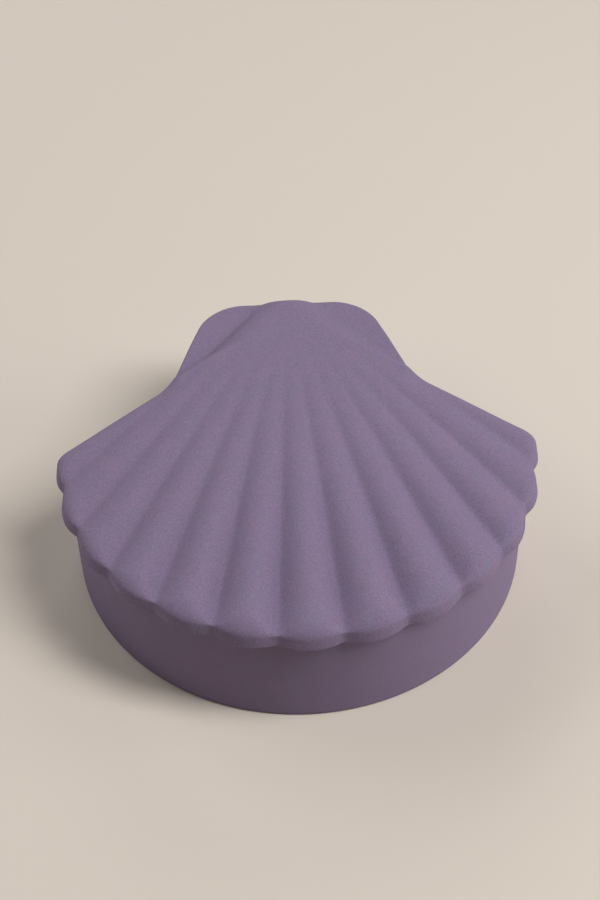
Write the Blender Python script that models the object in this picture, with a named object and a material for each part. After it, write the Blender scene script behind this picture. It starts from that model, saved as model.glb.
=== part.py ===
"""Scallop shell box: a plain hollow base, and a ribbed hollow lid that lifts off.

The box stands on the origin with the front of the fan towards -Y and the shell's
straight hinge edge towards +Y. Every plan outline is an inset of one shell outline,
so the base, the lid, its flange and both hollows follow one another.
"""

import math

import bmesh
import bpy
from mathutils import Vector
from mathutils.geometry import delaunay_2d_cdt, intersect_point_line

# Base, in metres
BASE_RADIUS = 0.085          # front arc of the wall, about the middle of the box
BASE_HEIGHT = 0.042
BASE_WALL = 0.005
BASE_FLOOR = 0.006
FOOT_ROUND = 0.0012          # edge where the wall meets the table
BASE_RIM_ROUND = 0.0010      # both edges of the flat rim
FLOOR_FILLET = 0.0025        # inside corner between the floor and the wall

# Plan of the shell, as the lid's edge runs between the ribs
LID_OVERHANG = 0.002         # past the base's wall, all round
NOTCH_X = 0.0485             # corner between the flank and the ear, before it is rounded
NOTCH_Y = 0.0350
NOTCH_ROUND = 0.026
FLANK_ANGLE = math.radians(39.5)
EAR_X = 0.0315               # corner of the ear, before it is rounded
HINGE_Y = 0.0832
EAR_ROUND = 0.020
WING_ROUND = 0.010           # between the flank and the front arc
TIGHTEST_ROUND = 0.003       # least corner radius of an inset outline

# Ribs of the lid
RIB_COUNT = 13
RIB_PITCH = math.radians(7.75)
FAN_APEX_Y = 0.080           # the ribs' middle lines meet here
RIB_DEPTH = 0.94             # depth of the valleys, as a share of the dome's height above the lip
RIB_FULL = 0.152             # the valleys reach that share at this distance from the apex
RIB_GROWTH = 3.4             # power with which they deepen from the smooth beak to there
RIB_FULLNESS = 0.27          # the higher, the flatter a rib's crest and the steeper its sides
VALLEY_WIDTH = 0.0013        # half the width of a valley's rounded bottom
SCALLOP = 0.0022             # a rib's end swells this far past the valleys beside it

# Top of the lid
SEAT_GAP = 0.0003            # between the base's rim and the lid
CREST_HEIGHT = 0.0125        # highest place of the dome, above the seat
CREST_Y = 0.010
SIDE_FALL = 0.0052           # how far the dome falls to the wings
FRONT_FALL = 0.0036          # how far the dome falls to the front rim
BEAK_FALL = 0.0028           # how far the dome falls to the hinge
EAR_HEIGHT = 0.0058          # top of an ear, above the seat
EAR_RISE = 0.0013            # how far an ear rises towards the beak
EAR_DISH = 0.0008            # an ear is hollowed by this much along the crease,
EAR_DISH_WIDTH = 0.0120      # and is level again at this distance from it
CREASE_REAR_X = 0.0100       # the dome's side meets the ear along the line
CREASE_REAR_Y = 0.0825       # between these two places
CREASE_NOTCH_X = 0.0430
CREASE_NOTCH_Y = 0.0400
CREASE_SOFTNESS = 0.08       # rounding of the crease, as a share of the dome's side
CREASE_RUN = 0.0030          # the crease runs on past the flank's line by this much,
CREASE_FADE = 0.0050         # and fades over this distance
SHOULDER = 0.0110            # width of the dome's rounded side, above the ear
SHOULDER_FULLNESS = 2.5      # the higher, the fuller the rounded side
LIP_HEIGHT = 0.0046          # upright band all round, above the seat
LIP_ROUND = 0.0009           # lower edge of the lip
LIP_LEAN = 0.0007            # the lip's upper edge stands back by this much, except behind the notches
LEAST_RISE = 0.0002          # least height of the rounding above the lip
EDGE_STRETCH = 2.0           # width of that rounding, for its height
HINGE_TIGHTNESS = 0.5        # the rounding is narrower by this share along the hinge

# Underside of the lid
LID_WALL = 0.0040
FLANGE_CLEARANCE = 0.0010    # between the flange and the inside of the base's wall
FLANGE_WALL = 0.0030
FLANGE_DROP = 0.0030         # reach of the flange below the seat

# Fineness of the facets
RIB_STEPS = 8                # across a rib, at the rim
FRONT_STEPS = 22             # along half the plain front arc
CORNER_STEPS = 4             # along a rounded corner of the plan
NOTCH_STEPS = 8              # along the rounded notch
EDGE_STEPS = 5               # along a straight stretch of the lid's edge
ARC_STEPS = 3                # across a rounded edge
ROLL_STEPS = 4               # across the rounding above the lip
FAN_ROWS = 12                # rows of points between the beak and the rim
ROW_CROWDING = 0.8           # the lower, the closer the rows stand towards the rim
VALLEY_ROWS = (0.952, 0.967, 0.981)      # further rows between the ribs' ends, as shares of the way
ALL_LINES_FROM = 0.55        # share of the way to the rim from which all lines run
HALF_LINES_FROM = 0.28       # share of the way from which half of them run; nearer, a quarter
CREASE_ROWS = 8              # along the crease beside an ear
CREASE_END_ROWS = 12         # along the end of the crease, beside the flank
CREASE_END_SPACING = 0.0035
CREASE_STEPS = (-0.9, -0.45, 0.0, 0.15, 0.35, 0.65, 1.0)    # shares of the way up the dome's side
CREASE_SPACE = 0.1           # room between the crease's lines and others, in widths of the side
LINE_SPACE = 0.0014          # room between the lines and the edge's rounding
CEILING_RINGS = 6            # over the hollow under the lid
CEILING_SPOKES = 24
SMOOTHEST_ANGLE = math.radians(35)      # facets that meet more steeply look sharp
CLOSEST_POINTS = 1e-7        # points nearer than this count as one

# Colour
CERAMIC_COLOUR = (0.222, 0.168, 0.278)
CERAMIC_ROUGHNESS = 0.80

SEAT_Z = BASE_HEIGHT + SEAT_GAP
LID_RADIUS = BASE_RADIUS + LID_OVERHANG
HALF_FAN = 0.5 * (RIB_COUNT - 1) * RIB_PITCH
NOTCH = Vector((NOTCH_X, NOTCH_Y))
EAR = Vector((EAR_X, HINGE_Y))
FLANK_ALONG = Vector((math.cos(FLANK_ANGLE), -math.sin(FLANK_ANGLE)))
FLANK_OUT = Vector((math.sin(FLANK_ANGLE), math.cos(FLANK_ANGLE)))
CREASE_REAR = Vector((CREASE_REAR_X, CREASE_REAR_Y))
CREASE_NOTCH = Vector((CREASE_NOTCH_X, CREASE_NOTCH_Y))


def clear_scene():
    """Remove whatever objects the open file holds."""
    for thing in list(bpy.data.objects):
        bpy.data.objects.remove(thing, do_unlink=True)


def matt_ceramic(name, colour, roughness):
    """A dry, through-coloured ceramic body."""
    material = bpy.data.materials.new(name)
    material.use_nodes = True
    shader = material.node_tree.nodes["Principled BSDF"]
    shader.inputs["Base Color"].default_value = (*colour, 1.0)
    shader.inputs["Roughness"].default_value = roughness
    shader.inputs["Metallic"].default_value = 0.0
    material.diffuse_color = (*colour, 1.0)
    return material


def smoothstep(value):
    value = min(max(value, 0.0), 1.0)
    return value * value * (3.0 - 2.0 * value)


def at_angle(angle):
    return Vector((math.cos(angle), math.sin(angle)))


def meet(point_a, along_a, point_b, along_b):
    """Where two straight lines of the plan cross."""
    between = point_b - point_a
    return point_a + along_a * (between.cross(along_b) / along_a.cross(along_b))


def rounded_corner(corner, arriving, leaving, radius, steps):
    """The arc that rounds a corner, from the arriving line to the leaving one."""
    turn = math.atan2(arriving.cross(leaving), arriving.dot(leaving))
    side = math.copysign(1.0, turn)
    start = corner - arriving * radius * math.tan(abs(turn) / 2)
    centre = start + Vector((-arriving.y, arriving.x)) * radius * side
    first = math.atan2(start.y - centre.y, start.x - centre.x)
    return [centre + at_angle(first + turn * step / steps) * radius for step in range(steps + 1)]


def wing_arc(inset):
    """The arc from the front circle to the flank, at an inset from the shell outline."""
    radius = max(WING_ROUND - inset, TIGHTEST_ROUND)
    out = FLANK_OUT.dot(NOTCH) - inset - radius
    along = math.sqrt((LID_RADIUS - inset - radius) ** 2 - out * out)
    centre = FLANK_OUT * out + FLANK_ALONG * along
    first = math.atan2(centre.y, centre.x)
    turn = math.atan2(FLANK_OUT.y, FLANK_OUT.x) - first
    return [centre + at_angle(first + turn * step / CORNER_STEPS) * radius for step in range(CORNER_STEPS + 1)]


def rear_half(inset, straight_steps):
    """Right half of the outline behind the wing's arc, from the flank to the hinge's middle."""
    side_along = (EAR - NOTCH).normalized()
    side_out = Vector((side_along.y, -side_along.x))
    flank_at = NOTCH - FLANK_OUT * inset
    side_at = NOTCH - side_out * inset
    hinge_at = Vector((0.0, HINGE_Y - inset))
    hinge_along = Vector((-1.0, 0.0))
    notch = meet(flank_at, FLANK_ALONG, side_at, side_along)
    ear = meet(side_at, side_along, hinge_at, hinge_along)
    notch_arc = rounded_corner(notch, -FLANK_ALONG, side_along, NOTCH_ROUND + inset, NOTCH_STEPS)
    ear_radius = max(EAR_ROUND - inset, TIGHTEST_ROUND)
    ear_arc = rounded_corner(ear, side_along, hinge_along, ear_radius, CORNER_STEPS)
    points = []
    start = wing_arc(inset)[-1]
    for stretch in (notch_arc, ear_arc, [hinge_at]):
        for step in range(1, straight_steps):
            points.append(start.lerp(stretch[0], step / straight_steps))
        points.extend(stretch)
        start = stretch[-1]
    return points


def both_halves(right):
    """Close an outline from its right half, which runs from the front to the hinge."""
    left = [Vector((-point.x, point.y)) for point in reversed(right[1:-1])]
    return right + left


def shell_outline(inset):
    """Plain shell outline, inset from the line of the lid's valleys."""
    wing = wing_arc(inset)
    first = -math.pi / 2
    turn = math.atan2(wing[0].y, wing[0].x) - first
    radius = LID_RADIUS - inset
    front = [at_angle(first + turn * step / FRONT_STEPS) * radius for step in range(FRONT_STEPS)]
    return both_halves(front + wing + rear_half(inset, 1))


def rib_section(fan_angle, reach=RIB_FULL):
    """1 along a rib's crest and 0 in a valley; the outer side of the last rib stays full."""
    if abs(fan_angle) >= HALF_FAN:
        return 1.0
    softness = math.pi * VALLEY_WIDTH / RIB_PITCH
    wave = math.cos(math.pi * fan_angle / RIB_PITCH)
    full = math.hypot(reach, softness) + softness
    section = wave * wave * full / (math.hypot(wave * reach, softness) + softness)
    return section * (1.0 + RIB_FULLNESS * (1.0 - section))


def fan_angle_of(point):
    return math.atan2(point.x, FAN_APEX_Y - point.y)


def fan_reach(angle, radius):
    """From the fan's apex to a circle about the middle of the box, along one fan angle."""
    middle = FAN_APEX_Y * math.cos(angle)
    return middle + math.sqrt(middle * middle + radius * radius - FAN_APEX_Y * FAN_APEX_Y)


def fan_point(angle, reach):
    return Vector((reach * math.sin(angle), FAN_APEX_Y - reach * math.cos(angle)))


def rib_angles(steps):
    """Fan angles of the right half, from the middle rib's crest to the last rib's."""
    count = (RIB_COUNT - 1) // 2 * steps
    return [RIB_PITCH * step / steps for step in range(count + 1)]


def lid_outline():
    """The lid's scalloped edge: the shell outline with a swelling at the end of each rib."""
    wing = wing_arc(0.0)
    last = fan_angle_of(wing[0])
    half_step = 0.5 * RIB_PITCH / RIB_STEPS
    front = []
    for angle in rib_angles(RIB_STEPS):
        if angle < last - half_step:
            swollen = LID_RADIUS + SCALLOP * rib_section(angle)
            front.append(fan_point(angle, fan_reach(angle, swollen)))
    for step, point in enumerate(wing):
        fading = 1.0 - smoothstep(step / CORNER_STEPS)
        out = at_angle(math.atan2(wing[0].y, wing[0].x)).lerp(FLANK_OUT, step / CORNER_STEPS)
        front.append(point + out * SCALLOP * fading * rib_section(last))
    return both_halves(front + rear_half(0.0, EDGE_STEPS))


def outward(outline):
    """Outward direction at each point of an anticlockwise outline."""
    directions = []
    for index, point in enumerate(outline):
        before = (point - outline[index - 1]).normalized()
        after = (outline[(index + 1) % len(outline)] - point).normalized()
        along = (before + after).normalized()
        directions.append(Vector((along.y, -along.x)))
    return directions


def dome_height(point):
    """Height of the ribs' crests."""
    side = point.x / LID_RADIUS
    if point.y < CREST_Y:
        along = (CREST_Y - point.y) / (CREST_Y + LID_RADIUS)
        fall = FRONT_FALL * along * along
    else:
        along = (point.y - CREST_Y) / (HINGE_Y - CREST_Y)
        fall = BEAK_FALL * along * along
    return SEAT_Z + CREST_HEIGHT - SIDE_FALL * side * side - fall


def inside_crease(point):
    """Distance from the crease beside an ear, growing towards the middle of the dome."""
    mirrored = Vector((abs(point.x), point.y))
    along = (CREASE_NOTCH - CREASE_REAR).normalized()
    from_crease = (mirrored - CREASE_REAR).dot(Vector((along.y, -along.x)))
    past_flank = (mirrored - NOTCH).dot(FLANK_OUT) + CREASE_RUN
    return max(from_crease, SHOULDER * (1.0 - past_flank / CREASE_FADE))


def lid_height(point, ribbed=True):
    """Height of the lid's top, before its edge rolls over; unribbed, it runs along the valleys."""
    dome = dome_height(point)
    reach = math.hypot(point.x, FAN_APEX_Y - point.y)
    valley = RIB_DEPTH * min(reach / RIB_FULL, 1.0) ** RIB_GROWTH * (dome - SEAT_Z - LIP_HEIGHT)
    if ribbed:
        valley *= 1.0 - rib_section(fan_angle_of(point), reach)
    inside = inside_crease(point)
    ear = SEAT_Z + EAR_HEIGHT + EAR_RISE * max(1.0 - abs(point.x) / EAR_X, 0.0)
    ear -= EAR_DISH * (1.0 - smoothstep(-inside / EAR_DISH_WIDTH))
    side = inside / SHOULDER
    side = min(0.5 * (side + math.hypot(side, CREASE_SOFTNESS)), 1.0)
    return ear + (dome - valley - ear) * (1.0 - (1.0 - side) ** SHOULDER_FULLNESS)


def behind_notch(point):
    """0 in front of the notches and 1 round the hinge's corners."""
    return smoothstep((point.y - NOTCH_Y) / (HINGE_Y - EAR_ROUND - NOTCH_Y))


def edge_stretch(point):
    """Width of the rounding for its height, at a place of the edge: tighter behind the notches."""
    return EDGE_STRETCH * (1.0 - HINGE_TIGHTNESS * behind_notch(point))


def ceiling_height(point):
    """Height of the lid's hollow: smooth, with the full wall left over every valley."""
    return lid_height(point, ribbed=False) - LID_WALL


def add_loop(mesh, outline, height):
    """One row of vertices over the points of a plan, at one height."""
    return [mesh.verts.new((point.x, point.y, height)) for point in outline]


def add_row(mesh, line, height_at):
    """One row of vertices over the points of a plan, at the height that a function gives."""
    return [mesh.verts.new((point.x, point.y, height_at(point))) for point in line]


def bridge(mesh, lower, upper):
    """Faces between two rows that run the same way."""
    count = len(lower)
    for index in range(count):
        following = (index + 1) % count
        mesh.faces.new((lower[index], lower[following], upper[following], upper[index]))


def bridge_all(mesh, rows):
    for lower, upper in zip(rows, rows[1:]):
        bridge(mesh, lower, upper)


def is_inside(point, outline):
    """Whether a point lies inside a closed outline."""
    crossings = 0
    for index, end in enumerate(outline):
        start = outline[index - 1]
        if (start.y > point.y) != (end.y > point.y):
            share = (point.y - start.y) / (end.y - start.y)
            crossings += start.x + share * (end.x - start.x) > point.x
    return crossings % 2 == 1


def cover(mesh, loop, facing_up, lines=(), hole=()):
    """Triangulate the plan inside a closed row of vertices, along the lines in it, up to a hole's row."""
    verts = []
    edges = []
    for row, is_closed in [(loop, True), (hole, True)] + [(line, False) for line in lines]:
        first = len(verts)
        verts.extend(row)
        edges.extend((index, index + 1) for index in range(first, len(verts) - 1))
        if is_closed and row:
            edges.append((len(verts) - 1, first))
    plan = [vert.co.to_2d() for vert in verts]
    hole_plan = [vert.co.to_2d() for vert in hole]
    inside_only = 1
    _, _, faces, sources, _, _ = delaunay_2d_cdt(plan, edges, [], inside_only, CLOSEST_POINTS)
    for face in faces:
        corners = [verts[sources[corner][0]] for corner in face]
        middle = sum((vert.co.to_2d() for vert in corners), Vector((0.0, 0.0))) / 3
        if is_inside(middle, hole_plan):
            continue
        if not facing_up:
            corners.reverse()
        mesh.faces.new(corners)


def rounded_rows(mesh, outline_at, inset, height, radius, quarter):
    """Rows of vertices over a quarter round, from one straight side of an edge to the other.

    quarter gives the angle where the round starts and the angle where it ends, and
    outline_at gives the outline at an inset. The round's centre is at inset and height.
    """
    rows = []
    start, end = quarter
    for step in range(ARC_STEPS + 1):
        angle = start + (end - start) * step / ARC_STEPS
        across = inset - radius * math.cos(angle)
        rows.append(add_loop(mesh, outline_at(across), height + radius * math.sin(angle)))
    return rows


def finish_mesh(mesh, name, material):
    """Make the object of a finished piece."""
    bmesh.ops.recalc_face_normals(mesh, faces=mesh.faces)
    data = bpy.data.meshes.new(name)
    mesh.to_mesh(data)
    mesh.free()
    data.materials.append(material)
    data.shade_smooth()
    data.set_sharp_from_angle(angle=SMOOTHEST_ANGLE)
    piece = bpy.data.objects.new(name, data)
    bpy.context.scene.collection.objects.link(piece)
    return piece


def make_base(material):
    """Plain upright wall with a flat rim, a flat floor and rounded edges."""
    mesh = bmesh.new()
    outer = LID_OVERHANG
    inner = LID_OVERHANG + BASE_WALL
    down, level, up = -math.pi / 2, 0.0, math.pi / 2
    rows = rounded_rows(mesh, shell_outline, outer + FOOT_ROUND, FOOT_ROUND, FOOT_ROUND, (down, level))
    rows += rounded_rows(mesh, shell_outline, outer + BASE_RIM_ROUND, BASE_HEIGHT - BASE_RIM_ROUND,
                         BASE_RIM_ROUND, (level, up))
    rows += rounded_rows(mesh, shell_outline, inner - BASE_RIM_ROUND, BASE_HEIGHT - BASE_RIM_ROUND,
                         BASE_RIM_ROUND, (up, math.pi))
    rows += rounded_rows(mesh, shell_outline, inner + FLOOR_FILLET, BASE_FLOOR + FLOOR_FILLET,
                         FLOOR_FILLET, (level, down))
    bridge_all(mesh, rows)
    cover(mesh, rows[0], facing_up=False)
    cover(mesh, rows[-1], facing_up=True)
    return finish_mesh(mesh, "base", material)


def is_clear(point, outline, gap):
    """Whether a point lies inside an outline and at least a gap away from it."""
    for index, end in enumerate(outline):
        start = outline[index - 1]
        near, share = intersect_point_line(point, start, end)
        if share < 0.0 or share > 1.0:
            near = start if share < 0.0 else end
        if (point - near.to_2d()).length < gap:
            return False
    return is_inside(point, outline)


def stretches(line, is_kept):
    """The runs of neighbouring points of a line that pass a test."""
    runs = [[]]
    for point in line:
        if is_kept(point):
            runs[-1].append(point)
        elif runs[-1]:
            runs.append([])
    return [run for run in runs if run]


def clear_lines(lines, outline, gap):
    """The stretches of the lines that lie inside an outline and clear of it."""
    kept = []
    for line in lines:
        kept.extend(stretches(line, lambda point: is_clear(point, outline, gap)))
    return kept


def both_sides(lines):
    """Lines of the right half, with their mirror images in the left one."""
    mirrored = [[Vector((-point.x, point.y)) for point in line] for line in lines if line[0].x > CLOSEST_POINTS]
    return lines + mirrored


def fan_lines():
    """Lines along the crests, sides and valleys of the ribs, fewer of them towards the beak."""
    lines = []
    shares = [(row / FAN_ROWS) ** ROW_CROWDING for row in range(1, FAN_ROWS)] + list(VALLEY_ROWS)
    for index, angle in enumerate(rib_angles(RIB_STEPS)):
        rim = fan_reach(angle, LID_RADIUS + SCALLOP * rib_section(angle))
        line = []
        for share in shares:
            every = 1 if share > ALL_LINES_FROM else 2 if share > HALF_LINES_FROM else 4
            if index % every == 0:
                line.append(fan_point(angle, rim * share))
        beside_crease = (1.0 + 2.0 * CREASE_SPACE) * SHOULDER
        lines.extend(stretches(line, lambda point: inside_crease(point) > beside_crease))
    return both_sides(lines)


def crease_lines():
    """Lines of equal height up the dome's side: along the crease, then along the flank to the notch."""
    along = (CREASE_NOTCH - CREASE_REAR).normalized()
    inward = Vector((along.y, -along.x))
    lines = []
    for share in CREASE_STEPS:
        start = CREASE_REAR + inward * SHOULDER * share
        beside_flank = NOTCH + FLANK_OUT * (CREASE_FADE * (1.0 - share) - CREASE_RUN)
        corner = meet(start, along, beside_flank, FLANK_ALONG)
        line = [start.lerp(corner, step / CREASE_ROWS) for step in range(CREASE_ROWS + 1)]
        for step in range(1, CREASE_END_ROWS + 1):
            line.append(corner + FLANK_ALONG * CREASE_END_SPACING * step)
        lines.append(line)
    return both_sides(lines)


def ceiling_lines():
    """Rings of points over the smooth hollow under the lid."""
    lines = []
    for ring in range(1, CEILING_RINGS):
        radius = LID_RADIUS * ring / CEILING_RINGS
        spokes = CEILING_SPOKES
        lines.append([at_angle(math.tau * (step + 0.5 * (ring % 2)) / spokes) * radius for step in range(spokes)])
    return lines


def make_lid(material):
    """Ribbed, rounded top over a flat seat, with a locating flange and a shallow hollow."""
    mesh = bmesh.new()
    edge = lid_outline()
    out = outward(edge)

    def inset_edge(distances):
        return [point - side * distance for point, side, distance in zip(edge, out, distances)]

    leans = [LIP_LEAN * (1.0 - behind_notch(point)) for point in edge]
    rises = [max(lid_height(point) - SEAT_Z - LIP_HEIGHT, LEAST_RISE) for point in inset_edge(leans)]
    runs = [rise * edge_stretch(point) for point, rise in zip(edge, rises)]
    rows = []
    for step in range(ARC_STEPS + 1):
        angle = -math.pi / 2 * (1.0 - step / ARC_STEPS)
        distance = LIP_ROUND * (1.0 - math.cos(angle))
        height = SEAT_Z + LIP_ROUND * (1.0 + math.sin(angle))
        rows.append(add_loop(mesh, inset_edge([distance] * len(edge)), height))
    for step in range(ROLL_STEPS + 1):
        angle = math.pi / 2 * step / ROLL_STEPS
        distances = [lean + run * (1.0 - math.cos(angle)) for lean, run in zip(leans, runs)]
        row = add_row(mesh, inset_edge(distances), lid_height)
        for vert, rise in zip(row, rises):
            vert.co.z -= rise * (1.0 - math.sin(angle))
        rows.append(row)
    bridge_all(mesh, rows)

    top_plan = [vert.co.to_2d() for vert in rows[-1]]
    lines = clear_lines(fan_lines() + crease_lines(), top_plan, LINE_SPACE)
    cover(mesh, rows[-1], facing_up=True, lines=[add_row(mesh, line, lid_height) for line in lines])

    flange_outside = LID_OVERHANG + BASE_WALL + FLANGE_CLEARANCE
    outer_plan = shell_outline(flange_outside)
    inner_plan = shell_outline(flange_outside + FLANGE_WALL)
    flange = [add_loop(mesh, outer_plan, SEAT_Z), add_loop(mesh, outer_plan, SEAT_Z - FLANGE_DROP),
              add_loop(mesh, inner_plan, SEAT_Z - FLANGE_DROP), add_row(mesh, inner_plan, ceiling_height)]
    for lower, upper in zip(flange, flange[1:]):
        bridge(mesh, upper, lower)
    cover(mesh, rows[0], facing_up=False, hole=flange[0])
    lines = clear_lines(ceiling_lines(), inner_plan, LINE_SPACE)
    cover(mesh, flange[-1], facing_up=False, lines=[add_row(mesh, line, ceiling_height) for line in lines])
    return finish_mesh(mesh, "lid", material)


def main():
    clear_scene()
    make_base(matt_ceramic("base_ceramic", CERAMIC_COLOUR, CERAMIC_ROUGHNESS))
    make_lid(matt_ceramic("lid_ceramic", CERAMIC_COLOUR, CERAMIC_ROUGHNESS))


main()
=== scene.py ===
"""Scallop shell box in matt lavender ceramic: the finished base and lid, on a pale floor."""

import math

import bpy
import numpy as np
from mathutils import Matrix, Vector, noise
from mathutils.geometry import delaunay_2d_cdt
from mathutils.kdtree import KDTree


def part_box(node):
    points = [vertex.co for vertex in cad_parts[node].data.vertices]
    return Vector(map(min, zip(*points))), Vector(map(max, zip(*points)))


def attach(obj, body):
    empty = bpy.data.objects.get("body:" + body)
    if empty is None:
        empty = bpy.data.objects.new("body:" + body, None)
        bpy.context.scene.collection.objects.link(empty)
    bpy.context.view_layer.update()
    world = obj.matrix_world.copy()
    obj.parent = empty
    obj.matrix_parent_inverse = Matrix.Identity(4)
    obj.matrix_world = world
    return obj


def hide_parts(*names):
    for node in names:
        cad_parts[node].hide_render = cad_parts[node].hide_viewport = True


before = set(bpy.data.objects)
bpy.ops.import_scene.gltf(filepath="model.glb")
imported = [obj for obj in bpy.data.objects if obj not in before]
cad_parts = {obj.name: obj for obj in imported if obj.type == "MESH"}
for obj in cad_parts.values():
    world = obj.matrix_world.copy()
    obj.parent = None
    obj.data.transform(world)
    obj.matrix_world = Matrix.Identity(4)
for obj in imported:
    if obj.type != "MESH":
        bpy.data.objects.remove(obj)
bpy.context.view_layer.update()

bl_info = {
    "name": "Scallop shell box",
    "version": (1, 0, 0),
    "blender": (4, 5, 0),
    "location": "3D View > Sidebar > Shell Box",
    "description": "A ribbed ceramic shell lid over a plain hollow base, with its floor, light and camera",
    "category": "Object",
}

BASE_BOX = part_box("base")
LID_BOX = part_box("lid")

# Plan of the shell, as the lid's edge runs between the ribs, in metres
LID_RADIUS = 0.087
LID_OVERHANG = 0.002         # past the base's wall, all round
NOTCH = np.array((0.0485, 0.0350))      # corner between the flank and the ear, before it is rounded
NOTCH_ROUND = 0.026
FLANK_ANGLE = math.radians(39.5)
EAR = np.array((0.0315, 0.0832))        # corner of the ear, before it is rounded
EAR_ROUND = 0.020
WING_ROUND = 0.010           # between the flank and the front arc
TIGHTEST_ROUND = 0.003       # least corner radius of an inset outline
FLANK_ALONG = np.array((math.cos(FLANK_ANGLE), -math.sin(FLANK_ANGLE)))
FLANK_OUT = np.array((math.sin(FLANK_ANGLE), math.cos(FLANK_ANGLE)))
HINGE_Y = EAR[1]

# Fan of the ribs
RIB_COUNT = 13
RIB_PITCH = math.radians(7.75)
HALF_FAN = 0.5 * (RIB_COUNT - 1) * RIB_PITCH
FAN_APEX = np.array((0.0, 0.080))       # the ribs' middle lines meet here
RIB_FULL = 0.152             # the valleys reach their full share of depth at this distance
RIB_GROWTH = 3.4             # power with which they deepen from the smooth beak to there
RIB_FULLNESS = 0.27          # the higher, the flatter a rib's crest and the steeper its sides
FAN_START = 0.024            # lines of the fine mesh start at this distance from the apex

# Underside of the lid
LID_WALL = 0.0040
FLANGE_CLEARANCE = 0.0010    # between the flange and the inside of the base's wall
FLANGE_WALL = 0.0030
FLANGE_DROP = 0.0030         # reach of the flange below the seat
SEAT_Z = LID_BOX[0].z + FLANGE_DROP

# Dome and ears
CREST_HEIGHT = 0.0125        # highest place of the dome, above the seat
CREST_Y = 0.010
SIDE_FALL = 0.0052           # how far the dome falls to the wings
FRONT_FALL = 0.0036          # how far the dome falls to the front rim
BEAK_FALL = 0.0028           # how far the dome falls to the hinge
EAR_HEIGHT = 0.0058          # top of an ear, above the seat
EAR_RISE = 0.0013            # how far an ear rises towards the beak
EAR_DISH = 0.0008            # an ear is hollowed by this much along the crease,
EAR_DISH_WIDTH = 0.0120      # and is level again at this distance from it
CREASE_REAR = np.array((0.0100, 0.0825))    # the dome's side meets the ear along the line
CREASE_NOTCH = np.array((0.0430, 0.0400))   # between these two places
CREASE_SOFTNESS = 0.08       # rounding of the crease, as a share of the dome's side
CREASE_RUN = 0.0030          # the crease runs on past the flank's line by this much,
CREASE_FADE = 0.0050         # and fades over this distance
SHOULDER = 0.0110            # width of the dome's rounded side
SHOULDER_FULLNESS = 2.5      # the higher, the fuller the rounded side
LIP_HEIGHT = 0.0046          # upright band all round, above the seat
LEAST_RISE = 0.0002          # least height of the rounding above the lip
HINGE_TIGHTNESS = 0.5        # the rounding is narrower by this share along the hinge

# Slow swells of the hand-worked surface: their spacing, and the place in the noise they start at
SLOW_SWELLS = (0.012, 3.0)
QUICK_SWELLS = (0.0045, 8.0)
WALL_SWELLS = (0.014, 5.0)
QUICK_SHARE = 0.4            # height of the quick swells, as a share of the slow ones'
SWELL_SINK = 0.5             # the swells lie this share of their height below the even form
SWELL_FADE = 6.0             # the wall's swells fade over one part in so many of its height

# Grain of the ceramic: scale, detail and roughness of each noise
COOL_NOISE = (150.0, 2.0, 0.6)
WARM_NOISE = (95.0, 2.0, 0.6)
SPECK_NOISE = (1500.0, 3.0, 0.75)
DRY_NOISE = (400.0, 3.0, 0.6)
FINE_NOISE = (1500.0, 3.0, 0.65)
COARSE_NOISE = (420.0, 2.0, 0.5)
COOL_RANGE = (0.50, 0.68)    # the clouds set in over these values of their noise
WARM_RANGE = (0.48, 0.70)
DRY_SPREAD = 0.25            # spread of the roughness
FINE_SHARE = 0.6             # of the fine grain in the grain's height
COARSE_SHARE = 0.9           # of the coarse grain in it
CERAMIC_GLOSS = 0.35         # specular level of the ceramic

# Strength of the clouds and the specks on each piece, and coarseness of its grain
BASE_FINISH = (0.30, 0.30, 1.0)
LID_FINISH = (0.40, 0.95, 2.2)

# Camera above the front of the box, a touch to its left
CAMERA_PLACE = (-0.0149, -0.3881, 0.4433)
CAMERA_FORWARD = (0.0286, 0.6993, -0.7143)
CAMERA_ROLL = math.radians(-1.057)
CAMERA_SENSOR = 36.0
CAMERA_REACH = (0.01, 20.0)  # nearest and furthest distance that it sees

# Floor and surround
FLOOR_HALF = 3.0             # half the width of the floor
FLOOR_ROUGHNESS = 0.95
FLOOR_GLOSS = 0.1
SURROUND_COLOUR = (0.97, 0.97, 1.0, 1.0)
LIGHT_TARGET = Vector((0.0, 0.0, 0.0))

# Soft studio lights, all aimed at the box: name, place, width, height, power in watts
LIGHTS = (
    ("key light", (0.90, -0.37, 1.40), 0.40, 1.00, 20.8),
    ("right light", (1.48, -0.12, 0.50), 0.80, 0.80, 7.6),
    ("left light", (-1.00, 0.70, 1.00), 1.00, 1.00, 7.0),
    ("back light", (0.0, 1.60, 0.80), 1.00, 1.00, 6.4),
    ("left fill", (-1.22, -0.22, 1.00), 1.00, 1.00, 3.4),
)
LIGHT_COLOUR = (1.0, 0.985, 0.96)

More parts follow.
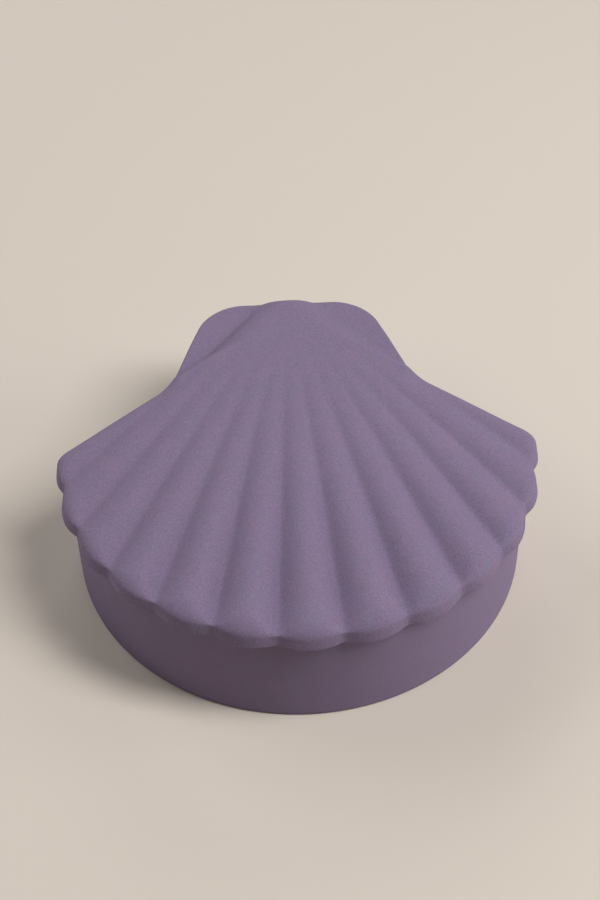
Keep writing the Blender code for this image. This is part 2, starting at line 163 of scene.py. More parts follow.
# Fineness of the meshes
RIB_STEPS = 32               # across a rib
ROW_SPACING = 0.0012         # along a rib
FIELD_SPACING = 0.0009       # over the beak, the shoulders and the ears
FRONT_STEPS = 150            # along half the plain front arc
CORNER_STEPS = 14            # along a rounded corner of the plan
FLANK_STEPS = 30             # along a straight stretch of the plan
ARC_STEPS = 6                # across a rounded edge
ROLL_STEPS = 12              # across the lid's rolled edge
WALL_STEPS = 34              # up the base's wall
CLOSEST_POINTS = 1e-7        # points nearer than this count as one
FAN_LENGTH = 0.16            # length of a rib that the rows are counted for
THINNER_BELOW = (0.62, 0.40, 0.25)      # towards the beak, every second line ends at each share
FIELD_REACH = 1.25 * SHOULDER           # even points up to this distance from the crease
FIELD_GAP = 0.6 * FIELD_SPACING         # left free between even points and the fan's lines
EDGE_GAP = 0.7 * ROW_SPACING            # left free inside the rounded edge
HOLLOW_SPACING = 3.0 * FIELD_SPACING    # of the even points over the hollow


class ShellBoxLid(bpy.types.PropertyGroup):
    """Sizes of the ribbed lid."""

    rib_depth: bpy.props.FloatProperty(
        name="Rib depth", description="Depth of the valleys, as a share of the height above the lip",
        default=0.94, min=0.0, max=0.95, subtype="FACTOR")
    valley_width: bpy.props.FloatProperty(
        name="Valley width", description="Half the width of a valley's rounded bottom",
        default=0.0013, min=0.0002, max=0.005, unit="LENGTH")
    scallop: bpy.props.FloatProperty(
        name="Scallop", description="How far a rib's end swells past the valleys beside it",
        default=0.0022, min=0.0, max=0.004, unit="LENGTH")
    edge_stretch: bpy.props.FloatProperty(
        name="Edge stretch", description="Width of the rounding above the lip, for its height",
        default=2.0, min=0.5, max=4.0)
    lip_round: bpy.props.FloatProperty(
        name="Lip round", description="Radius of the lip's lower edge",
        default=0.0009, min=0.0002, max=0.002, unit="LENGTH")
    lip_lean: bpy.props.FloatProperty(
        name="Lip lean",
        description="How far the lip's upper edge stands back, except behind the notches",
        default=0.0007, min=0.0, max=0.002, unit="LENGTH")
    unevenness: bpy.props.FloatProperty(
        name="Unevenness", description="Height of the hand-worked surface's slow swells",
        default=0.00012, min=0.0, max=0.0005, unit="LENGTH")


class ShellBoxBase(bpy.types.PropertyGroup):
    """Sizes of the hollow base."""

    wall: bpy.props.FloatProperty(
        name="Wall", description="Thickness of the upright wall",
        default=0.005, min=0.002, max=0.010, unit="LENGTH")
    floor: bpy.props.FloatProperty(
        name="Floor", description="Thickness of the floor",
        default=0.006, min=0.002, max=0.010, unit="LENGTH")
    foot_round: bpy.props.FloatProperty(
        name="Foot round", description="Radius of the edge where the wall meets the table",
        default=0.0012, min=0.0002, max=0.003, unit="LENGTH")
    rim_round: bpy.props.FloatProperty(
        name="Rim round", description="Radius of both edges of the flat rim",
        default=0.0010, min=0.0002, max=0.002, unit="LENGTH")
    floor_fillet: bpy.props.FloatProperty(
        name="Floor fillet", description="Radius inside, between the floor and the wall",
        default=0.0025, min=0.001, max=0.010, unit="LENGTH")
    unevenness: bpy.props.FloatProperty(
        name="Unevenness", description="Depth of the wall's slow swells",
        default=0.00010, min=0.0, max=0.0005, unit="LENGTH")


class ShellBoxFinish(bpy.types.PropertyGroup):
    """Colours and grain of the ceramic."""

    body_colour: bpy.props.FloatVectorProperty(
        name="Body colour", description="Main colour of the ceramic",
        default=(0.216, 0.163, 0.270), size=3, min=0.0, max=1.0, subtype="COLOR")
    cool_colour: bpy.props.FloatVectorProperty(
        name="Cool clouds", description="Colour of the faint blue-grey clouds",
        default=(0.186, 0.174, 0.268), size=3, min=0.0, max=1.0, subtype="COLOR")
    warm_colour: bpy.props.FloatVectorProperty(
        name="Warm clouds", description="Colour of the faint pink clouds",
        default=(0.244, 0.171, 0.277), size=3, min=0.0, max=1.0, subtype="COLOR")
    roughness: bpy.props.FloatProperty(
        name="Roughness", description="Roughness of the dry surface",
        default=0.80, min=0.0, max=1.0, subtype="FACTOR")
    grain_depth: bpy.props.FloatProperty(
        name="Grain depth", description="Depth of the fine grain",
        default=0.00006, min=0.0, max=0.0005, unit="LENGTH")


class ShellBoxStage(bpy.types.PropertyGroup):
    """Floor, light and camera."""

    floor_colour: bpy.props.FloatVectorProperty(
        name="Floor colour", description="Colour of the pale floor",
        default=(0.70, 0.635, 0.57), size=3, min=0.0, max=1.0, subtype="COLOR")
    light_level: bpy.props.FloatProperty(
        name="Light level", description="Strength of all lights together",
        default=1.0, min=0.0, max=10.0)
    surround: bpy.props.FloatProperty(
        name="Surround", description="Strength of the even light from all around",
        default=0.0, min=0.0, max=2.0)
    lens: bpy.props.FloatProperty(
        name="Lens", description="Focal length of the camera",
        default=60.0, min=20.0, max=200.0, unit="CAMERA")


SETTINGS = {
    "shell_box_lid": ShellBoxLid,
    "shell_box_base": ShellBoxBase,
    "shell_box_finish": ShellBoxFinish,
    "shell_box_stage": ShellBoxStage,
}


def smoothstep(value):
    value = np.clip(value, 0.0, 1.0)
    return value * value * (3.0 - 2.0 * value)


def at_angle(angle):
    return np.stack((np.cos(angle), np.sin(angle)), axis=-1)


def left_of(direction):
    return np.array((-direction[1], direction[0]))


def arc(centre, radius, first, turn, steps):
    return centre + radius * at_angle(first + turn * np.linspace(0.0, 1.0, steps + 1))


def meet(point_a, along_a, point_b, along_b):
    """Where two straight lines of the plan cross."""
    share = left_of(along_b) @ (point_b - point_a) / (left_of(along_b) @ along_a)
    return point_a + along_a * share


def rounded_corner(corner, arriving, leaving, radius):
    """The arc that rounds a corner, from the arriving line to the leaving one."""
    turn = math.atan2(left_of(arriving) @ leaving, arriving @ leaving)
    start = corner - arriving * radius * math.tan(abs(turn) / 2)
    centre = start + left_of(arriving) * radius * math.copysign(1.0, turn)
    first = math.atan2(start[1] - centre[1], start[0] - centre[0])
    return arc(centre, radius, first, turn, CORNER_STEPS)


def wing_arc(inset):
    """The arc from the front circle to the flank, at an inset from the shell outline."""
    radius = max(WING_ROUND - inset, TIGHTEST_ROUND)
    out = FLANK_OUT @ NOTCH - inset - radius
    along = math.sqrt((LID_RADIUS - inset - radius) ** 2 - out * out)
    centre = FLANK_OUT * out + FLANK_ALONG * along
    first = math.atan2(centre[1], centre[0])
    turn = math.atan2(FLANK_OUT[1], FLANK_OUT[0]) - first
    return arc(centre, radius, first, turn, CORNER_STEPS)


def rear_half(inset):
    """Right half of the outline behind the wing's arc, from the flank to the hinge's middle."""
    side_along = (EAR - NOTCH) / np.linalg.norm(EAR - NOTCH)
    side_out = -left_of(side_along)
    flank_at = NOTCH - FLANK_OUT * inset
    side_at = NOTCH - side_out * inset
    hinge_at = np.array((0.0, HINGE_Y - inset))
    hinge_along = np.array((-1.0, 0.0))
    notch = meet(flank_at, FLANK_ALONG, side_at, side_along)
    ear = meet(side_at, side_along, hinge_at, hinge_along)
    notch_arc = rounded_corner(notch, -FLANK_ALONG, side_along, NOTCH_ROUND + inset)
    ear_arc = rounded_corner(ear, side_along, hinge_along, max(EAR_ROUND - inset, TIGHTEST_ROUND))
    points = []
    start = wing_arc(inset)[-1]
    for stretch in (notch_arc, ear_arc, hinge_at[None]):
        shares = np.linspace(0.0, 1.0, FLANK_STEPS + 1)[1:-1, None]
        points.append(start + (stretch[0] - start) * shares)
        points.append(stretch)
        start = stretch[-1]
    return np.concatenate(points)


def both_halves(right):
    """Close an outline from its right half, which runs from the front to the hinge."""
    return np.concatenate((right, right[-2:0:-1] * (-1.0, 1.0)))


def shell_outline(inset):
    """Plain shell outline, inset from the line of the lid's valleys."""
    wing = wing_arc(inset)
    turn = math.atan2(wing[0, 1], wing[0, 0]) + math.pi / 2
    front = arc(np.zeros(2), LID_RADIUS - inset, -math.pi / 2, turn, FRONT_STEPS)
    return both_halves(np.concatenate((front[:-1], wing, rear_half(inset))))


def outward(outline):
    """Outward direction at each point of an anticlockwise outline."""
    step = np.roll(outline, -1, axis=0) - outline
    step /= np.linalg.norm(step, axis=1, keepdims=True)
    along = step + np.roll(step, 1, axis=0)
    along /= np.linalg.norm(along, axis=1, keepdims=True)
    return np.stack((along[:, 1], -along[:, 0]), axis=-1)


def swells(points, height, kind):
    """Irregular swells over the plan, from -height to height."""
    spacing, seed = kind
    moved = [noise.noise(Vector((x / spacing, y / spacing, seed))) for x, y in points]
    return height * np.array(moved)


class LidForm:
    """The lid's shape, as heights and outlines over the plan."""

    def __init__(self, sizes):
        self.sizes = sizes

    def rib_section(self, fan_angle, reach=RIB_FULL):
        """1 along a rib's crest and 0 in a valley; the outer side of the last rib stays full."""
        softness = np.pi * self.sizes.valley_width / RIB_PITCH
        wave = np.cos(np.pi * fan_angle / RIB_PITCH)
        full = np.hypot(reach, softness) + softness
        section = wave * wave * full / (np.hypot(wave * reach, softness) + softness)
        section *= 1.0 + RIB_FULLNESS * (1.0 - section)
        return np.where(np.abs(fan_angle) >= HALF_FAN, 1.0, section)

    def fan_line(self, angle, shares):
        """Points along one fan angle, at shares of the way from the apex to the scalloped edge."""
        middle = FAN_APEX[1] * math.cos(angle)
        radius = LID_RADIUS + self.sizes.scallop * self.rib_section(angle)
        reach = middle + math.sqrt(middle * middle + radius * radius - FAN_APEX[1] ** 2)
        return FAN_APEX + np.outer(np.atleast_1d(shares) * reach, (math.sin(angle), -math.cos(angle)))

    def outline(self):
        """The scalloped edge: the shell outline with a swelling at the end of each rib."""
        wing = wing_arc(0.0)
        last = math.atan2(wing[0, 0], FAN_APEX[1] - wing[0, 1])
        angles = rib_angles()
        front = [self.fan_line(angle, 1.0)[0] for angle in angles if angle < last - 0.5 * angles[1]]
        shares = np.linspace(0.0, 1.0, CORNER_STEPS + 1)[:, None]
        out = wing[0] / np.linalg.norm(wing[0]) * (1.0 - shares) + FLANK_OUT * shares
        swelling = self.sizes.scallop * (1.0 - smoothstep(shares)) * self.rib_section(last)
        return both_halves(np.concatenate((front, wing + out * swelling, rear_half(0.0))))

    def inside_crease(self, points):
        """Distance from the crease beside an ear, growing towards the middle of the dome."""
        mirrored = np.abs(points * (1.0, 0.0)) + points * (0.0, 1.0)
        along = (CREASE_NOTCH - CREASE_REAR) / np.linalg.norm(CREASE_NOTCH - CREASE_REAR)
        from_crease = (mirrored - CREASE_REAR) @ -left_of(along)
        past_flank = (mirrored - NOTCH) @ FLANK_OUT + CREASE_RUN
        return np.maximum(from_crease, SHOULDER * (1.0 - past_flank / CREASE_FADE))

    def height(self, points, ribbed=True):
        """Height of the top, before its edge rolls over; unribbed, it runs along the valleys."""
        x, y = points.T
        front = FRONT_FALL * ((CREST_Y - y) / (CREST_Y + LID_RADIUS)) ** 2
        rear = BEAK_FALL * ((y - CREST_Y) / (HINGE_Y - CREST_Y)) ** 2
        crest = SEAT_Z + CREST_HEIGHT - SIDE_FALL * (x / LID_RADIUS) ** 2
        dome = crest - np.where(y < CREST_Y, front, rear)
        reach = np.hypot(x, FAN_APEX[1] - y)
        depth = self.sizes.rib_depth * np.minimum(reach / RIB_FULL, 1.0) ** RIB_GROWTH
        valley = depth * (dome - SEAT_Z - LIP_HEIGHT)
        if ribbed:
            valley = valley * (1.0 - self.rib_section(np.arctan2(x, FAN_APEX[1] - y), reach))
        inside = self.inside_crease(points)
        ear = SEAT_Z + EAR_HEIGHT + EAR_RISE * np.maximum(1.0 - np.abs(x) / EAR[0], 0.0)
        ear -= EAR_DISH * (1.0 - smoothstep(-inside / EAR_DISH_WIDTH))
        side = inside / SHOULDER
        side = np.minimum(0.5 * (side + np.hypot(side, CREASE_SOFTNESS)), 1.0)
        return ear + (dome - valley - ear) * (1.0 - (1.0 - side) ** SHOULDER_FULLNESS)

    def edge_stretch(self, edge):
        """Width of the rounding for its height, along the edge: tighter behind the notches."""
        return self.sizes.edge_stretch * (1.0 - HINGE_TIGHTNESS * behind_notch(edge))

    def top(self, points):
        """Height of the worked surface, with its slow swells."""
        slow = swells(points, self.sizes.unevenness, SLOW_SWELLS)
        quick = swells(points, QUICK_SHARE * self.sizes.unevenness, QUICK_SWELLS)
        return self.height(points) + slow + quick - SWELL_SINK * self.sizes.unevenness

    def ceiling(self, points):
        """Height of the hollow: smooth, with the full wall left over every valley."""
        return self.height(points, ribbed=False) - LID_WALL


def behind_notch(points):
    """0 in front of the notches and 1 round the hinge's corners."""
    return smoothstep((points[:, 1] - NOTCH[1]) / (EAR[1] - EAR_ROUND - NOTCH[1]))


def rib_angles():
    """Fan angles of the right half, from the middle rib's crest to the last rib's."""
    count = (RIB_COUNT - 1) // 2 * RIB_STEPS
    return RIB_PITCH * np.arange(count + 1) / RIB_STEPS


class Cast:
    """Vertices and faces of one closed piece, gathered row by row."""

    def __init__(self):
        self.points = []
        self.faces = []

    def row(self, plan, height):
        """Add a row of vertices over the points of a plan; its numbers are returned."""
        first = len(self.points)
        heights = np.broadcast_to(height, len(plan))
        self.points.extend(np.column_stack((plan, heights)).tolist())
        return list(range(first, len(self.points)))

    def plan(self, row):
        return [tuple(self.points[index][:2]) for index in row]

    def bridge(self, rows):
        """Faces between closed rows that follow one another."""
        for lower, upper in zip(rows, rows[1:]):
            for index in range(len(lower)):
                self.faces.append((lower[index - 1], lower[index], upper[index], upper[index - 1]))

    def cover(self, loop, facing_up, lines=(), hole=()):
        """Triangulate the plan inside a closed row, along the lines in it, up to a hole's row."""
        numbers = []
        edges = []
        for row, is_closed in [(loop, True), (hole, True)] + [(line, False) for line in lines]:
            first = len(numbers)
            numbers.extend(row)
            edges.extend((index, index + 1) for index in range(first, len(numbers) - 1))
            if is_closed and row:
                edges.append((len(numbers) - 1, first))
        plan = [Vector(point) for point in self.plan(numbers)]
        inside_only = 1
        made = delaunay_2d_cdt(plan, edges, [], inside_only, CLOSEST_POINTS)
        faces, sources = made[2], made[3]
        outline = np.array(self.plan(hole)) if hole else None
        for face in faces:
            corners = [numbers[sources[corner][0]] for corner in face]
            if outline is not None and is_inside(np.mean(self.plan(corners), axis=0), outline):
                continue
            self.faces.append(corners if facing_up else corners[::-1])

    def finish(self, name, material):
        """Make the object of the finished piece."""
        data = bpy.data.meshes.new(name)
        data.from_pydata(self.points, [], self.faces)
        if data.validate():
            raise RuntimeError(f"{name} has faulty faces")
        data.materials.append(material)
        data.shade_smooth()
        piece = bpy.data.objects.new(name, data)
        bpy.context.scene.collection.objects.link(piece)
        return piece


def is_inside(point, outline):
    """Whether a point lies inside a closed outline."""
    start = np.roll(outline, 1, axis=0)
    crosses = (start[:, 1] > point[1]) != (outline[:, 1] > point[1])
    first, last = start[crosses], outline[crosses]
    share = (point[1] - first[:, 1]) / (last[:, 1] - first[:, 1])
    at = first[:, 0] + share * (last[:, 0] - first[:, 0])
    return np.count_nonzero(at > point[0]) % 2 == 1


class Clearance:
    """Tells which points lie inside an outline and at least a gap away from it."""

    def __init__(self, outline, gap):
        self.outline = outline
        self.out = outward(outline)
        self.gap = gap
        self.tree = KDTree(len(outline))
        for index, point in enumerate(outline):
            self.tree.insert((*point, 0.0), index)
        self.tree.balance()

    def passes(self, points):
        kept = []
        for point in points:
            _, index, distance = self.tree.find((*point, 0.0))
            inside = (point - self.outline[index]) @ self.out[index] < 0.0
            kept.append(inside and distance >= self.gap)
        return np.array(kept, dtype=bool)


def stretches(line, kept):
    """The runs of neighbouring points of a line that are kept."""
    breaks = np.flatnonzero(np.diff(kept.astype(int))) + 1
    runs = zip(np.split(line, breaks), np.split(kept, breaks))
    return [run for run, is_kept in runs if len(run) and is_kept[0]]


def fan_lines(form, clearance):
    """Lines along the crests, sides and valleys of the ribs, fewer of them towards the beak."""
    lines = []
    rows = int(FAN_LENGTH / ROW_SPACING)
    shares = np.arange(1, rows + 1) / rows
    every = np.select([shares > share for share in THINNER_BELOW], (1, 2, 4), 8)
    for index, angle in enumerate(rib_angles()):
        line = form.fan_line(angle, shares)
        reach = np.linalg.norm(line - FAN_APEX, axis=1)
        kept = (index % every == 0) & (reach > FAN_START)
        kept &= (form.inside_crease(line) > FIELD_REACH) & clearance.passes(line)
        for run in stretches(line, kept):
            lines.append(run)
            if angle > 0.0:
                lines.append(run * (-1.0, 1.0))
    return lines


def even_points(spacing):
    """Evenly spaced points over the whole plan, each row shifted by half a space."""
    steps = int(LID_RADIUS / spacing) + 2
    counts = np.arange(-steps, steps + 1)
    column, row = np.meshgrid(counts, counts)
    points = np.stack((column + 0.5 * (row % 2), row * math.sqrt(0.75)), axis=-1)
    return points.reshape(-1, 2) * spacing


def field_points(form, clearance):
    """Even points over the beak, the dome's rounded sides and the ears."""
    points = even_points(FIELD_SPACING)
    reach = np.linalg.norm(points - FAN_APEX, axis=1)
    beside = form.inside_crease(points) < FIELD_REACH - FIELD_GAP
    points = points[beside | (reach < FAN_START - FIELD_GAP)]
    return points[clearance.passes(points)]


def hollow_points(outline):
    """Even, wider-spaced points over the hollow."""
    points = even_points(HOLLOW_SPACING)
    return points[Clearance(outline, 0.5 * HOLLOW_SPACING).passes(points)]


def make_lid(form, material):
    """Ribbed, rounded top over a flat seat, with a locating flange and a shallow hollow."""
    sizes = form.sizes
    cast = Cast()
    edge = form.outline()
    out = outward(edge)
    rows = []
    for angle in np.linspace(-math.pi / 2, 0.0, ARC_STEPS + 1):
        inset = sizes.lip_round * (1.0 - math.cos(angle))
        level = SEAT_Z + sizes.lip_round * (1.0 + math.sin(angle))
        rows.append(cast.row(edge - out * inset, level))
    brink = edge - out * sizes.lip_lean * (1.0 - behind_notch(edge))[:, None]
    rise = np.maximum(form.height(brink) - SEAT_Z - LIP_HEIGHT, LEAST_RISE)
    run = rise[:, None] * form.edge_stretch(edge)[:, None]
    for angle in np.linspace(0.0, math.pi / 2, ROLL_STEPS + 1):
        plan = brink - out * run * (1.0 - math.cos(angle))
        rows.append(cast.row(plan, form.top(plan) - rise * (1.0 - math.sin(angle))))
    cast.bridge(rows)

    top_plan = np.array(cast.plan(rows[-1]))
    clearance = Clearance(top_plan, EDGE_GAP)
    lines = [cast.row(line, form.top(line)) for line in fan_lines(form, clearance)]
    field = field_points(form, clearance)
    lines += [[index] for index in cast.row(field, form.top(field))]
    cast.cover(rows[-1], facing_up=True, lines=lines)

    flange_outside = LID_OVERHANG + bpy.context.scene.shell_box_base.wall + FLANGE_CLEARANCE
    outer_plan = shell_outline(flange_outside)
    inner_plan = shell_outline(flange_outside + FLANGE_WALL)
    flange = [
        cast.row(outer_plan, SEAT_Z),
        cast.row(outer_plan, SEAT_Z - FLANGE_DROP),
        cast.row(inner_plan, SEAT_Z - FLANGE_DROP),
        cast.row(inner_plan, form.ceiling(inner_plan)),
    ]
    cast.bridge(flange[::-1])
    cast.cover(rows[0], facing_up=False, hole=flange[0])
    hollow = hollow_points(inner_plan)
    lines = [[index] for index in cast.row(hollow, form.ceiling(hollow))]
    cast.cover(flange[-1], facing_up=False, lines=lines)
    return cast.finish("shell_lid", material)


def make_base(sizes, material):
    """Plain upright wall with a flat rim, a flat floor and rounded edges."""
    cast = Cast()
    quarter = math.pi / 2
    foot = sizes.foot_round
    rim = sizes.rim_round
    fillet = sizes.floor_fillet
    rim_level = BASE_BOX[1].z - rim
    outer = LID_OVERHANG
    inner = LID_OVERHANG + sizes.wall
    rows = []

    def add_round(inset, level, radius, first, last):
        for angle in np.linspace(first, last, ARC_STEPS + 1):
            plan = shell_outline(inset - radius * math.cos(angle))
            rows.append(cast.row(plan, level + radius * math.sin(angle)))

    def add_wall(inset, low, high):
        plan = shell_outline(inset)
        out = outward(plan)
        along = np.arctan2(plan[:, 1], plan[:, 0]) * LID_RADIUS
        for level in np.linspace(low, high, WALL_STEPS + 1)[1:-1]:
            around = np.column_stack((along, np.full(len(plan), level)))
            from_foot = (level - low) / (high - low) * SWELL_FADE
            from_rim = (high - level) / (high - low) * SWELL_FADE
            fade = smoothstep(from_foot) * smoothstep(from_rim)
            moved = swells(around, sizes.unevenness * float(fade), WALL_SWELLS)
            rows.append(cast.row(plan + out * moved[:, None], level))

    add_round(outer + foot, foot, foot, -quarter, 0.0)
    add_wall(outer, foot, rim_level)
    add_round(outer + rim, rim_level, rim, 0.0, quarter)
    add_round(inner - rim, rim_level, rim, quarter, 2.0 * quarter)
    add_round(inner + fillet, sizes.floor + fillet, fillet, 0.0, -quarter)
    cast.bridge(rows)
    cast.cover(rows[0], facing_up=False)
    cast.cover(rows[-1], facing_up=True)
    return cast.finish("shell_base", material)


def socket(group, name, direction, kind, default=None):
    made = group.interface.new_socket(name=name, in_out=direction, socket_type=kind)
    if default is not None:
        made.default_value = default


def clay_grain_group():
    """Faint cool and warm clouds, fine specks and the grain of a dry, unglazed ceramic."""
    name = "Clay grain"
    if name in bpy.data.node_groups:
        return bpy.data.node_groups[name]
    group = bpy.data.node_groups.new(name, "ShaderNodeTree")
    socket(group, "Body", "INPUT", "NodeSocketColor")
    socket(group, "Cool", "INPUT", "NodeSocketColor")
    socket(group, "Warm", "INPUT", "NodeSocketColor")
    socket(group, "Cloud amount", "INPUT", "NodeSocketFloat", 0.5)
    socket(group, "Speck amount", "INPUT", "NodeSocketFloat", 0.3)
    socket(group, "Roughness", "INPUT", "NodeSocketFloat", 0.8)
    socket(group, "Colour", "OUTPUT", "NodeSocketColor")
    socket(group, "Roughness", "OUTPUT", "NodeSocketFloat")
    socket(group, "Height", "OUTPUT", "NodeSocketFloat")
    nodes, links = group.nodes, group.links
    inputs = nodes.new("NodeGroupInput")
    outputs = nodes.new("NodeGroupOutput")
    place = nodes.new("ShaderNodeTexCoord")

    def grain(scale, detail, rough):
        node = nodes.new("ShaderNodeTexNoise")
        node.inputs["Scale"].default_value = scale
        node.inputs["Detail"].default_value = detail
        node.inputs["Roughness"].default_value = rough
        links.new(place.outputs["Object"], node.inputs["Vector"])
        return node.outputs["Fac"]

    def ramp(value, low, high):
        node = nodes.new("ShaderNodeMapRange")
        node.interpolation_type = "SMOOTHSTEP"
        node.inputs["From Min"].default_value = low
        node.inputs["From Max"].default_value = high
        links.new(value, node.inputs["Value"])
        return node.outputs["Result"]

    def maths(operation, first, second):
        node = nodes.new("ShaderNodeMath")
        node.operation = operation
        for value, slot in ((first, node.inputs[0]), (second, node.inputs[1])):
            if isinstance(value, float):
                slot.default_value = value
            else:
                links.new(value, slot)
        return node.outputs[0]

    def scaled(value, centre, factor):
        return maths("MULTIPLY", maths("SUBTRACT", value, centre), factor)

    def mix(share, first, second):
        node = nodes.new("ShaderNodeMix")
        node.data_type = "RGBA"
        links.new(share, node.inputs["Factor"])
        for value, slot in ((first, node.inputs["A"]), (second, node.inputs["B"])):
            links.new(value, slot)
        return node.outputs["Result"]

    clouds = inputs.outputs["Cloud amount"]
    cool = maths("MULTIPLY", ramp(grain(*COOL_NOISE), *COOL_RANGE), clouds)
    warm = maths("MULTIPLY", ramp(grain(*WARM_NOISE), *WARM_RANGE), clouds)
    colour = mix(cool, inputs.outputs["Body"], inputs.outputs["Cool"])
    colour = mix(warm, colour, inputs.outputs["Warm"])
    specks = scaled(grain(*SPECK_NOISE), 0.5, inputs.outputs["Speck amount"])
    light = maths("ADD", 1.0, specks)
    tint = nodes.new("ShaderNodeVectorMath")
    tint.operation = "SCALE"
    links.new(colour, tint.inputs[0])
    links.new(light, tint.inputs["Scale"])
    links.new(tint.outputs[0], outputs.inputs["Colour"])
    dry = scaled(grain(*DRY_NOISE), 0.5, DRY_SPREAD)
    links.new(maths("ADD", inputs.outputs["Roughness"], dry), outputs.inputs["Roughness"])
    fine = maths("MULTIPLY", grain(*FINE_NOISE), FINE_SHARE)
    coarse = maths("MULTIPLY", grain(*COARSE_NOISE), COARSE_SHARE)
    links.new(maths("ADD", fine, coarse), outputs.inputs["Height"])
    return group


def ceramic_material(name, finish, cloud_amount, speck_amount, coarseness):
    """Matt, through-coloured ceramic."""
    material = bpy.data.materials.new(name)
    material.use_nodes = True
    nodes, links = material.node_tree.nodes, material.node_tree.links
    shader = nodes["Principled BSDF"]
    shader.inputs["Specular IOR Level"].default_value = CERAMIC_GLOSS
    body = nodes.new("ShaderNodeGroup")
    body.node_tree = clay_grain_group()
    body.inputs["Body"].default_value = (*finish.body_colour, 1.0)
    body.inputs["Cool"].default_value = (*finish.cool_colour, 1.0)
    body.inputs["Warm"].default_value = (*finish.warm_colour, 1.0)
    body.inputs["Cloud amount"].default_value = cloud_amount
    body.inputs["Speck amount"].default_value = speck_amount
    body.inputs["Roughness"].default_value = finish.roughness
    bump = nodes.new("ShaderNodeBump")
    bump.inputs["Distance"].default_value = coarseness * finish.grain_depth
    links.new(body.outputs["Colour"], shader.inputs["Base Color"])
    links.new(body.outputs["Roughness"], shader.inputs["Roughness"])
    links.new(body.outputs["Height"], bump.inputs["Height"])
    links.new(bump.outputs["Normal"], shader.inputs["Normal"])
    material.diffuse_color = (*finish.body_colour, 1.0)
    return material


class ShellBoxMakeBase(bpy.types.Operator):
    """Cast the hollow base in its ceramic"""

    bl_idname = "shell_box.make_base"
    bl_label = "Make Base"

    def execute(self, context):
        scene = context.scene
        material = ceramic_material("base ceramic", scene.shell_box_finish, *BASE_FINISH)
        piece = make_base(scene.shell_box_base, material)
        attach(piece, "root")
        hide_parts("base")
        return {"FINISHED"}


class ShellBoxMakeLid(bpy.types.Operator):
    """Cast the ribbed lid in its ceramic"""

    bl_idname = "shell_box.make_lid"
    bl_label = "Make Lid"

    def execute(self, context):
        scene = context.scene
        material = ceramic_material("lid ceramic", scene.shell_box_finish, *LID_FINISH)
        piece = make_lid(LidForm(scene.shell_box_lid), material)
        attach(piece, "root")
        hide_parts("lid")
        return {"FINISHED"}


def floor_material(colour):
    """Plain, matt, pale board."""
    material = bpy.data.materials.new("pale floor")
    material.use_nodes = True
    shader = material.node_tree.nodes["Principled BSDF"]
    shader.inputs["Base Color"].default_value = (*colour, 1.0)
    shader.inputs["Roughness"].default_value = FLOOR_ROUGHNESS
    shader.inputs["Specular IOR Level"].default_value = FLOOR_GLOSS
    return material


def area_light(name, place, width, height, power):
    """A soft light that is aimed at the box."""
    data = bpy.data.lights.new(name, "AREA")
    data.shape = "RECTANGLE"
    data.size = width
    data.size_y = height
    data.energy = power
    data.color = LIGHT_COLOUR
    light = bpy.data.objects.new(name, data)
    light.location = place
    light.rotation_mode = "QUATERNION"
    light.rotation_quaternion = (LIGHT_TARGET - Vector(place)).to_track_quat("-Z", "Y")
    bpy.context.scene.collection.objects.link(light)


def make_camera(lens):
    """The camera, at its place and turned by its roll."""
    forward = Vector(CAMERA_FORWARD).normalized()
    right = forward.cross(Vector((0.0, 0.0, 1.0))).normalized()
    up = right.cross(forward)
    side = right * math.cos(CAMERA_ROLL) + up * math.sin(CAMERA_ROLL)
    top = up * math.cos(CAMERA_ROLL) - right * math.sin(CAMERA_ROLL)
    data = bpy.data.cameras.new("camera")
    data.lens = lens
    data.sensor_width = CAMERA_SENSOR
    data.clip_start, data.clip_end = CAMERA_REACH
    camera = bpy.data.objects.new("camera", data)
    turned = Matrix((side, top, -forward)).transposed()
    camera.matrix_world = Matrix.Translation(CAMERA_PLACE) @ turned.to_4x4()
    bpy.context.scene.collection.objects.link(camera)
    return camera


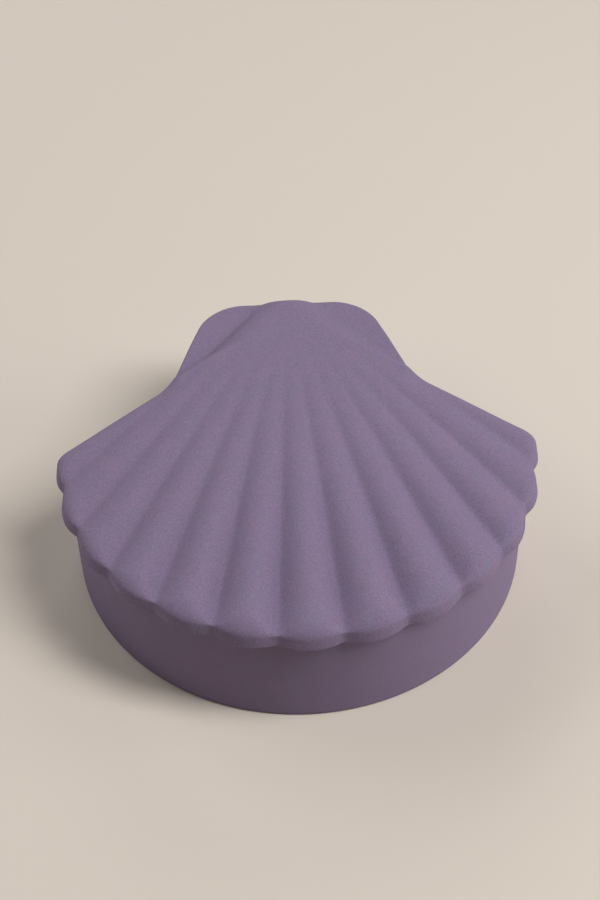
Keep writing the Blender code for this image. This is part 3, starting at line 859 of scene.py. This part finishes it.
class ShellBoxMakeStage(bpy.types.Operator):
    """Lay the pale floor and set the light and the camera"""

    bl_idname = "shell_box.make_stage"
    bl_label = "Make Stage"

    def execute(self, context):
        scene = context.scene
        stage = scene.shell_box_stage
        data = bpy.data.meshes.new("floor")
        half = FLOOR_HALF
        corners = [(-half, -half, 0.0), (half, -half, 0.0), (half, half, 0.0), (-half, half, 0.0)]
        data.from_pydata(corners, [], [(0, 1, 2, 3)])
        data.materials.append(floor_material(stage.floor_colour))
        floor = bpy.data.objects.new("floor", data)
        scene.collection.objects.link(floor)

        for name, place, width, height, power in LIGHTS:
            area_light(name, place, width, height, power * stage.light_level)
        world = bpy.data.worlds.new("surround")
        world.use_nodes = True
        background = world.node_tree.nodes["Background"]
        background.inputs["Color"].default_value = SURROUND_COLOUR
        background.inputs["Strength"].default_value = stage.surround
        scene.world = world
        scene.view_settings.view_transform = "Standard"
        scene.camera = make_camera(stage.lens)
        return {"FINISHED"}


OPERATORS = (ShellBoxMakeStage, ShellBoxMakeBase, ShellBoxMakeLid)


class ShellBoxPanel(bpy.types.Panel):
    """The box's sizes, finish and makers, in the sidebar"""

    bl_idname = "VIEW3D_PT_shell_box"
    bl_label = "Shell Box"
    bl_space_type = "VIEW_3D"
    bl_region_type = "UI"
    bl_category = "Shell Box"

    def draw(self, context):
        layout = self.layout
        for name, group in SETTINGS.items():
            settings = getattr(context.scene, name)
            box = layout.box()
            box.label(text=group.__doc__)
            for key in group.__annotations__:
                box.prop(settings, key)
        for operator in OPERATORS:
            layout.operator(operator.bl_idname)


def register():
    for group in SETTINGS.values():
        bpy.utils.register_class(group)
    for name, group in SETTINGS.items():
        setattr(bpy.types.Scene, name, bpy.props.PointerProperty(type=group))
    for operator in OPERATORS:
        bpy.utils.register_class(operator)
    bpy.utils.register_class(ShellBoxPanel)


def unregister():
    bpy.utils.unregister_class(ShellBoxPanel)
    for operator in reversed(OPERATORS):
        bpy.utils.unregister_class(operator)
    for name, group in SETTINGS.items():
        delattr(bpy.types.Scene, name)
        bpy.utils.unregister_class(group)


def main():
    register()
    bpy.ops.shell_box.make_stage()
    bpy.ops.shell_box.make_base()
    bpy.ops.shell_box.make_lid()


if __name__ == "__main__":
    main()
